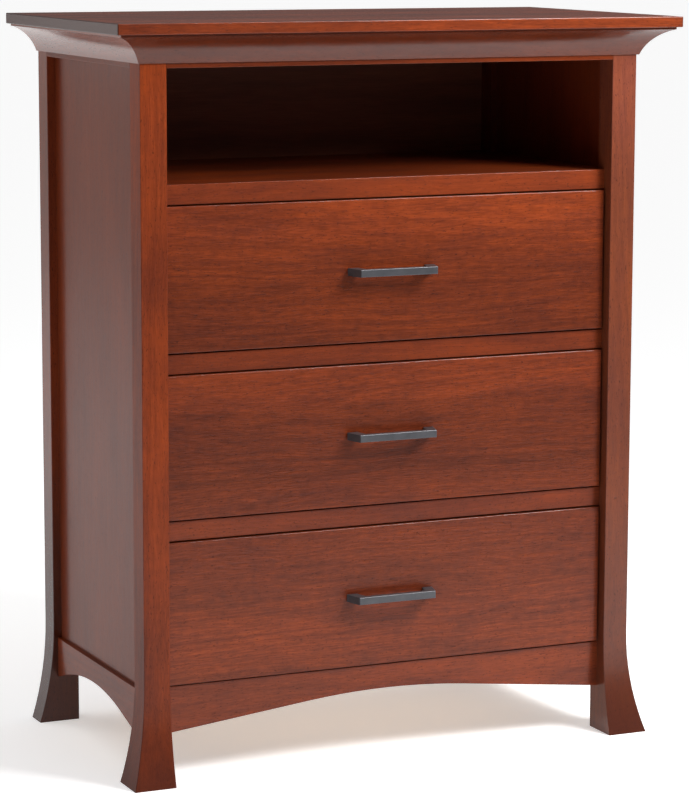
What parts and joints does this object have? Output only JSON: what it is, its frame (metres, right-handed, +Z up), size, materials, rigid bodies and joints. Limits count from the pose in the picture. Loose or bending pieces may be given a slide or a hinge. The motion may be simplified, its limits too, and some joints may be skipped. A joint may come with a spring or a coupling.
{
  "type": "media chest",
  "caption": "Cherry media chest: open component bay above full-extension drawers with bar pulls, flared legs, arched aprons, framed sides and a coved crown under the top.",
  "frame": {"origin": "on the floor, at the centre of the top board's outline seen from above", "axes": "+X to the chest's right as seen from the front, +Y from the front to the back, +Z up; the drawers open towards -Y"},
  "size_m": [0.925, 0.507, 1.137],
  "materials": {
    "cherry": "red-brown stained cherry under a satin varnish",
    "drawer_box_wood": "pale clear-coated hardwood",
    "plywood": "stained veneered plywood",
    "slide_steel": "zinc-plated sheet steel",
    "pull_metal": "dark gunmetal satin coating",
    "screw_steel": "plain steel screws"
  },
  "bodies": {
    "case": {"leg_front_left": "cherry", "leg_front_right": "cherry", "leg_rear_left": "cherry", "leg_rear_right": "cherry", "side_panel_left": "cherry", "side_panel_right": "cherry", "side_top_rail_left": "cherry", "side_top_rail_right": "cherry", "side_bottom_rail_left": "cherry", "side_bottom_rail_right": "cherry", "front_top_rail": "cherry", "shelf_front_rail": "cherry", "divider_rail_upper": "cherry", "divider_rail_lower": "cherry", "front_apron_rail": "cherry", "rear_top_rail": "cherry", "rear_bottom_rail": "cherry", "back_panel": "plywood", "media_shelf": "cherry", "side_battens": "cherry", "top_board": "cherry", "crown_cove_front": "cherry", "crown_cove_left": "cherry", "crown_cove_right": "cherry", "top_screws": "screw_steel", "back_screws": "screw_steel", "slide_case_members": "slide_steel"},
    "drawer_upper": {"drawer_upper_front": "cherry", "drawer_upper_box_front": "drawer_box_wood", "drawer_upper_box_back": "drawer_box_wood", "drawer_upper_side_left": "drawer_box_wood", "drawer_upper_side_right": "drawer_box_wood", "drawer_upper_bottom": "plywood", "drawer_upper_pull": "pull_metal", "drawer_upper_pull_screws": "screw_steel", "drawer_upper_front_screws": "screw_steel", "drawer_upper_slide_members": "slide_steel"},
    "drawer_middle": {"drawer_middle_front": "cherry", "drawer_middle_box_front": "drawer_box_wood", "drawer_middle_box_back": "drawer_box_wood", "drawer_middle_side_left": "drawer_box_wood", "drawer_middle_side_right": "drawer_box_wood", "drawer_middle_bottom": "plywood", "drawer_middle_pull": "pull_metal", "drawer_middle_pull_screws": "screw_steel", "drawer_middle_front_screws": "screw_steel", "drawer_middle_slide_members": "slide_steel"},
    "drawer_lower": {"drawer_lower_front": "cherry", "drawer_lower_box_front": "drawer_box_wood", "drawer_lower_box_back": "drawer_box_wood", "drawer_lower_side_left": "drawer_box_wood", "drawer_lower_side_right": "drawer_box_wood", "drawer_lower_bottom": "plywood", "drawer_lower_pull": "pull_metal", "drawer_lower_pull_screws": "screw_steel", "drawer_lower_front_screws": "screw_steel", "drawer_lower_slide_members": "slide_steel"},
    "runner_upper": {"drawer_upper_middle_members": "slide_steel"},
    "runner_middle": {"drawer_middle_middle_members": "slide_steel"},
    "runner_lower": {"drawer_lower_middle_members": "slide_steel"}
  },
  "joints": [
    {"name": "drawer_upper_slide", "type": "slide", "parent": "case", "child": "drawer_upper", "axis": [0, -1, 0], "range_m": [0, 0.4]},
    {"name": "drawer_middle_slide", "type": "slide", "parent": "case", "child": "drawer_middle", "axis": [0, -1, 0], "range_m": [0, 0.4]},
    {"name": "drawer_lower_slide", "type": "slide", "parent": "case", "child": "drawer_lower", "axis": [0, -1, 0], "range_m": [0, 0.4]},
    {"name": "runner_upper_slide", "type": "slide", "parent": "case", "child": "runner_upper", "axis": [0, -1, 0], "range_m": [0, 0.2]},
    {"name": "runner_middle_slide", "type": "slide", "parent": "case", "child": "runner_middle", "axis": [0, -1, 0], "range_m": [0, 0.2]},
    {"name": "runner_lower_slide", "type": "slide", "parent": "case", "child": "runner_lower", "axis": [0, -1, 0], "range_m": [0, 0.2]}
  ],
  "couplings": [
    {"joint": "runner_upper_slide", "follows": "drawer_upper_slide", "ratio": 0.5},
    {"joint": "runner_middle_slide", "follows": "drawer_middle_slide", "ratio": 0.5},
    {"joint": "runner_lower_slide", "follows": "drawer_lower_slide", "ratio": 0.5}
  ]
}
